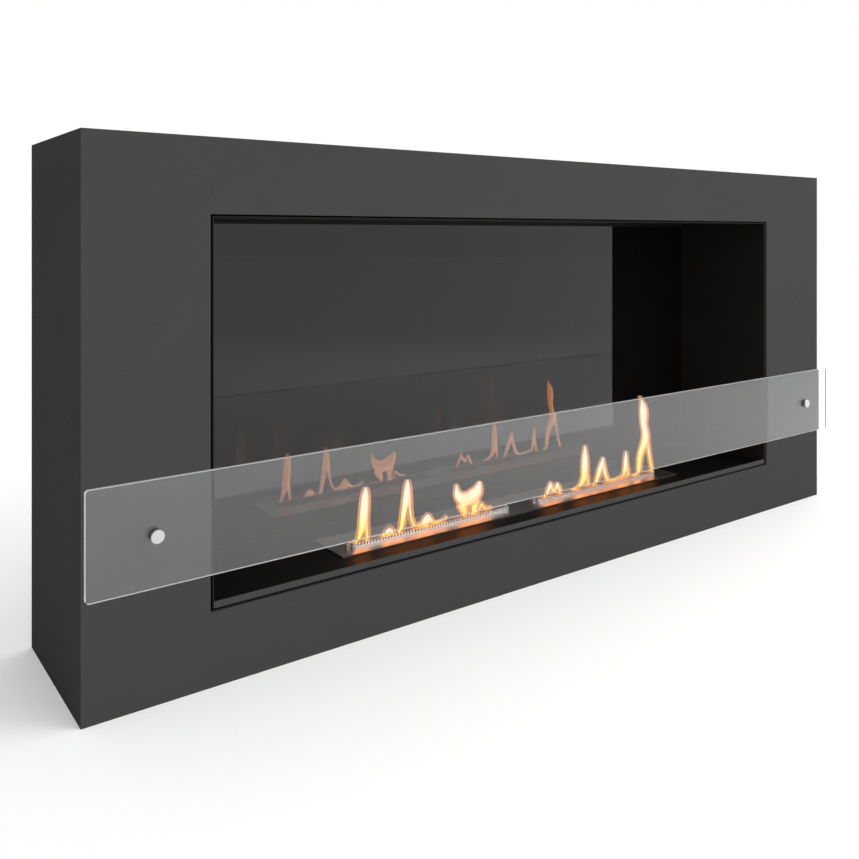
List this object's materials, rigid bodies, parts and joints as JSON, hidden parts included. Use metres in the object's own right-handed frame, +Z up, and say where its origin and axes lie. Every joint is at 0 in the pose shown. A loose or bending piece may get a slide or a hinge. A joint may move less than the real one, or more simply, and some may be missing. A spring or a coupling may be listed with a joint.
{
  "type": "bioethanol fireplace",
  "caption": "Wall-hung bioethanol fireplace: graphite steel box with a long opening, black mirror glass back, slot burners with sliding lids and a clear glass strip on standoffs.",
  "frame": {"origin": "centre of the base of the object's box", "axes": "+X along the width, to the right as seen from the front, -Y out of the front, +Z up"},
  "size_m": [1.2, 0.2144, 0.537],
  "materials": {
    "graphite_powder_coat": "graphite powder coat, satin with a fine grain",
    "black_firebox": "heat-proof black paint, satin",
    "black_shelf": "heat-proof black paint, graphite on the front lip",
    "black_mirror_glass": "glossy black toughened glass",
    "brushed_stainless": "brushed stainless steel",
    "ceramic_wool": "soft white ceramic fibre",
    "clear_glass": "clear toughened glass with polished edges",
    "polished_steel": "polished stainless steel",
    "zinc_steel": "zinc-plated steel",
    "rubber": "black rubber",
    "flame": "ethanol flame"
  },
  "bodies": {
    "casing": {"outer_casing": "graphite_powder_coat", "firebox_left_wall": "black_firebox", "firebox_right_wall": "black_firebox", "firebox_ceiling": "black_firebox", "firebox_rear_wall": "black_firebox", "mirror_glass_panel": "black_mirror_glass", "mirror_top_channel": "black_firebox", "mirror_clip_left": "black_firebox", "mirror_clip_right": "black_firebox", "burner_shelf": "black_shelf", "shelf_support_left": "graphite_powder_coat", "shelf_support_center": "graphite_powder_coat", "shelf_support_right": "graphite_powder_coat", "ceiling_hanger_left": "graphite_powder_coat", "ceiling_hanger_right": "graphite_powder_coat", "glass_screen": "clear_glass", "standoff_left_barrel": "polished_steel", "standoff_left_stud": "zinc_steel", "standoff_left_nut": "zinc_steel", "standoff_left_rear_gasket": "rubber", "standoff_left_front_gasket": "rubber", "standoff_left_cap": "polished_steel", "standoff_right_barrel": "polished_steel", "standoff_right_stud": "zinc_steel", "standoff_right_nut": "zinc_steel", "standoff_right_rear_gasket": "rubber", "standoff_right_front_gasket": "rubber", "standoff_right_cap": "polished_steel", "rear_panel": "black_firebox", "panel_screw_1": "zinc_steel", "panel_screw_2": "zinc_steel", "panel_screw_3": "zinc_steel", "panel_screw_4": "zinc_steel", "panel_screw_5": "zinc_steel", "panel_screw_6": "zinc_steel", "panel_screw_7": "zinc_steel", "panel_screw_8": "zinc_steel", "wall_rail": "zinc_steel", "hanger_hook_left": "zinc_steel", "hanger_hook_right": "zinc_steel", "wall_spacer_left": "rubber", "wall_spacer_right": "rubber"},
    "burner_left": {"burner_left_plate": "brushed_stainless", "burner_left_comb": "brushed_stainless", "burner_left_rim": "brushed_stainless", "burner_left_tank": "brushed_stainless", "burner_left_wool": "ceramic_wool", "burner_left_guide_a": "brushed_stainless", "burner_left_guide_b": "brushed_stainless"},
    "burner_right": {"burner_right_plate": "brushed_stainless", "burner_right_comb": "brushed_stainless", "burner_right_rim": "brushed_stainless", "burner_right_tank": "brushed_stainless", "burner_right_wool": "ceramic_wool", "burner_right_guide_a": "brushed_stainless", "burner_right_guide_b": "brushed_stainless"},
    "lid_left": {"burner_left_lid": "brushed_stainless"},
    "lid_right": {"burner_right_lid": "brushed_stainless"}
  },
  "joints": [
    {"name": "burner_left_lift", "type": "slide", "parent": "casing", "child": "burner_left", "axis": [0, 0, 1], "range_m": [0, 0.075]},
    {"name": "burner_right_lift", "type": "slide", "parent": "casing", "child": "burner_right", "axis": [0, 0, 1], "range_m": [0, 0.075]},
    {"name": "lid_left_slide", "type": "slide", "parent": "burner_left", "child": "lid_left", "axis": [0, -1, 0], "range_m": [0, 0.01]},
    {"name": "lid_right_slide", "type": "slide", "parent": "burner_right", "child": "lid_right", "axis": [0, -1, 0], "range_m": [0, 0.01]}
  ]
}
